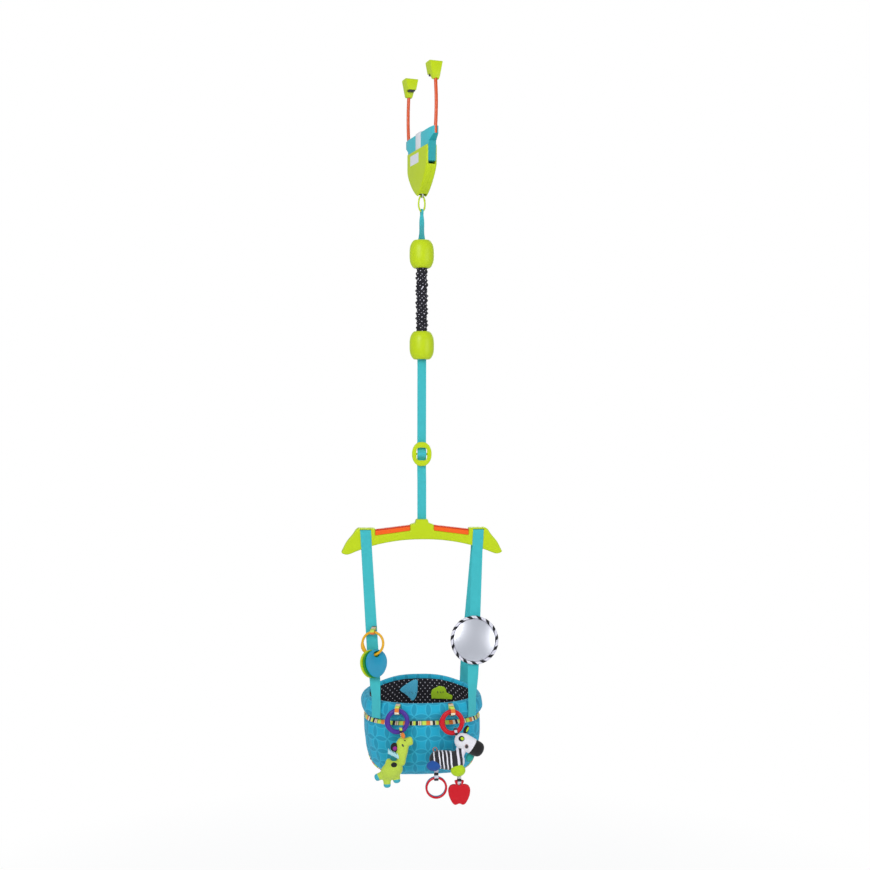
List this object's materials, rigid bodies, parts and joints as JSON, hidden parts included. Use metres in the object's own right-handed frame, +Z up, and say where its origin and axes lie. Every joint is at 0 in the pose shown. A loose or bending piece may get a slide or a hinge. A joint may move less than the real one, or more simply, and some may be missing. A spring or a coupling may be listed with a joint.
{
  "type": "baby doorway jumper",
  "caption": "Padded cloth seat hung by webbing, a spreader bar and a covered bounce spring from a clamp that grips the head of a door frame, with hanging toys.",
  "frame": {"origin": "on the hanging axis, level with the top of the door trim that the claws rest on", "axes": "+Z up along the hanging axis, +Y from the seat's front to its back, +X to the right of a viewer in front of the seat"},
  "size_m": [0.361, 0.2504, 1.6138],
  "materials": {
    "lime_plastic": "semi-gloss moulded",
    "teal_plastic": "satin moulded",
    "teal_webbing": "woven polyester webbing",
    "coated_rod": "orange coated steel",
    "zinc_steel": "zinc plated",
    "dark_rubber": "matt",
    "white_plastic": "satin moulded",
    "orange_plastic": "semi-gloss moulded",
    "teal_cotton": "printed padded cotton",
    "dotted_cotton": "black cotton with small dots",
    "striped_ribbon": "striped woven ribbon",
    "white_webbing": "woven polyester webbing",
    "blue_terry": "terry",
    "green_terry": "terry",
    "mirror_film": "reflective film",
    "yellow_plastic": "semi-gloss moulded",
    "blue_plastic": "semi-gloss moulded",
    "green_plastic": "semi-gloss moulded",
    "purple_plastic": "semi-gloss moulded",
    "red_plastic": "semi-gloss moulded",
    "lime_plush": "short plush",
    "white_plush": "striped cotton"
  },
  "bodies": {
    "clamp": {"clamp_housing_left": "lime_plastic", "clamp_housing_right": "lime_plastic", "clamp_band": "white_plastic", "lever_pin_near": "zinc_steel", "lever_pin_far": "zinc_steel"},
    "yoke": {"pull_yoke": "zinc_steel"},
    "near_arm": {"arm_lever_near": "teal_plastic", "arm_rod_near": "coated_rod", "claw_near": "lime_plastic", "grip_pad_near": "dark_rubber"},
    "far_arm": {"arm_lever_far": "teal_plastic", "arm_rod_far": "coated_rod", "claw_far": "lime_plastic", "grip_pad_far": "dark_rubber"},
    "load_ring_body": {"load_ring": "lime_plastic"},
    "hanger": {"hanger_strap": "teal_webbing"},
    "upper_cap": {"upper_cap_front": "lime_plastic", "upper_cap_rear": "lime_plastic", "spring_pin_upper": "zinc_steel", "bounce_spring": "zinc_steel", "spring_sleeve": "dotted_cotton", "safety_strap": "white_webbing"},
    "lower_cap": {"lower_cap_front": "lime_plastic", "lower_cap_rear": "lime_plastic", "spring_pin_lower": "zinc_steel", "height_strap": "teal_webbing"},
    "adjuster": {"adjuster_buckle": "lime_plastic"},
    "hub": {"hub_pin": "zinc_steel"},
    "bar": {"bar_front_shell": "lime_plastic", "bar_rear_shell": "lime_plastic", "bar_insert_left": "orange_plastic", "bar_insert_right": "orange_plastic"},
    "seat": {"seat_rim": "teal_cotton", "seat_shell": "teal_cotton", "seat_lining": "dotted_cotton", "trim_band": "striped_ribbon", "leaf_blue": "blue_terry", "leaf_green": "green_terry", "side_strap_left": "teal_webbing", "side_strap_right": "teal_webbing", "link_tab": "striped_ribbon", "toy_tab_left": "striped_ribbon", "toy_tab_right": "striped_ribbon"},
    "mirror": {"mirror_cover": "striped_ribbon", "mirror_face": "mirror_film", "mirror_loop": "teal_webbing"},
    "link": {"yellow_link": "yellow_plastic"},
    "front_plate": {"plate_front": "blue_plastic"},
    "middle_plate": {"plate_middle": "green_plastic"},
    "rear_plate": {"plate_rear": "lime_plastic"},
    "left_ring": {"purple_ring": "purple_plastic"},
    "giraffe": {"giraffe_body": "lime_plush", "giraffe_head": "lime_plush"},
    "right_ring": {"red_ring": "red_plastic"},
    "zebra": {"zebra_body": "white_plush", "zebra_head": "white_plush"},
    "teether_rings": {"teether_ring_front": "red_plastic", "teether_ring_rear": "blue_plastic"},
    "apple": {"apple_teether": "red_plastic"}
  },
  "joints": [
    {"name": "yoke_lift", "type": "slide", "parent": "clamp", "child": "yoke", "axis": [0, 0, 1], "range_m": [0, 0.0075]},
    {"name": "near_arm_pivot", "type": "hinge", "parent": "clamp", "child": "near_arm", "pos_m": [0.00937, -0.03164, -0.165], "axis": [0.9588, 0.284, 0], "range_deg": [0, 12.2]},
    {"name": "far_arm_pivot", "type": "hinge", "parent": "clamp", "child": "far_arm", "pos_m": [-0.00937, 0.03164, -0.165], "axis": [-0.9588, -0.284, 0], "range_deg": [0, 12.2]},
    {"name": "load_ring_swing", "type": "hinge", "parent": "yoke", "child": "load_ring_body", "pos_m": [0, 0, -0.2509], "axis": [0.9588, 0.284, 0], "range_deg": [-30, 30]},
    {"name": "hanger_swing", "type": "hinge", "parent": "load_ring_body", "child": "hanger", "pos_m": [0, 0, -0.2869], "axis": [0.284, -0.9588, 0], "range_deg": [-20, 20]},
    {"name": "seat_turn", "type": "hinge", "parent": "hanger", "child": "upper_cap", "pos_m": [0, 0, -0.3779], "axis": [0, 0, 1], "range_deg": [-60, 60], "deforming": ["hanger_strap"]},
    {"name": "bounce", "type": "slide", "parent": "upper_cap", "child": "lower_cap", "axis": [0, 0, -1], "range_m": [0, 0.12], "stiffness_N_per_m": 500, "springref_m": -0.045, "deforming": ["bounce_spring", "spring_sleeve", "safety_strap"]},
    {"name": "height_slide", "type": "slide", "parent": "lower_cap", "child": "hub", "axis": [0, 0, -1], "range_m": [-0.085, 0.045], "deforming": ["height_strap"]},
    {"name": "adjuster_slide", "type": "slide", "parent": "lower_cap", "child": "adjuster", "axis": [0, 0, -1], "range_m": [-0.17, 0.09]},
    {"name": "bar_rock", "type": "hinge", "parent": "hub", "child": "bar", "pos_m": [0, 0, -0.9971], "axis": [1, 0, 0], "range_deg": [-25, 25]},
    {"name": "seat_swing", "type": "hinge", "parent": "bar", "child": "seat", "pos_m": [0, 0, -1.04815], "axis": [1, 0, 0], "range_deg": [-25, 25], "deforming": ["side_strap_left", "side_strap_right"]},
    {"name": "mirror_slide", "type": "slide", "parent": "seat", "child": "mirror", "axis": [0.0594, 0.2052, 0.9769], "range_m": [-0.03, 0.06]},
    {"name": "link_swing", "type": "hinge", "parent": "seat", "child": "link", "pos_m": [-0.11217, -0.06342, -1.22013], "axis": [-0.9135, 0.3981, -0.0836], "range_deg": [0, 60]},
    {"name": "front_plate_swing", "type": "hinge", "parent": "link", "child": "front_plate", "pos_m": [-0.10455, -0.07651, -1.26596], "axis": [0.3746, -0.9074, 0.1906], "range_deg": [-25, 25]},
    {"name": "middle_plate_swing", "type": "hinge", "parent": "link", "child": "middle_plate", "pos_m": [-0.1106, -0.07416, -1.26788], "axis": [0.3746, -0.9074, 0.1906], "range_deg": [-25, 25]},
    {"name": "rear_plate_swing", "type": "hinge", "parent": "link", "child": "rear_plate", "pos_m": [-0.11678, -0.07137, -1.26799], "axis": [0.3746, -0.9074, 0.1906], "range_deg": [-25, 25]},
    {"name": "left_ring_swing", "type": "hinge", "parent": "seat", "child": "left_ring", "pos_m": [-0.0605, -0.10909, -1.38188], "axis": [-1, 0, 0], "range_deg": [0, 60]},
    {"name": "giraffe_swing", "type": "hinge", "parent": "left_ring", "child": "giraffe", "pos_m": [-0.05315, -0.10909, -1.4265], "axis": [-1, 0, 0], "range_deg": [0, 60]},
    {"name": "right_ring_swing", "type": "hinge", "parent": "seat", "child": "right_ring", "pos_m": [0.058, -0.10958, -1.38588], "axis": [-1, 0, 0], "range_deg": [0, 60]},
    {"name": "zebra_swing", "type": "hinge", "parent": "right_ring", "child": "zebra", "pos_m": [0.06535, -0.10958, -1.4305], "axis": [-1, 0, 0], "range_deg": [0, 35]},
    {"name": "teether_ring_swing", "type": "hinge", "parent": "zebra", "child": "teether_rings", "pos_m": [0.02305, -0.1175, -1.52519], "axis": [-1, 0, 0], "range_deg": [0, 60]},
    {"name": "apple_swing", "type": "hinge", "parent": "zebra", "child": "apple", "pos_m": [0.07265, -0.1175, -1.53228], "axis": [-1, 0, 0], "range_deg": [0, 60]}
  ],
  "couplings": [
    {"joint": "near_arm_pivot", "follows": "yoke_lift", "rad_per_m": 28.169},
    {"joint": "far_arm_pivot", "follows": "yoke_lift", "rad_per_m": 28.169},
    {"joint": "adjuster_slide", "follows": "height_slide", "ratio": 2}
  ]
}
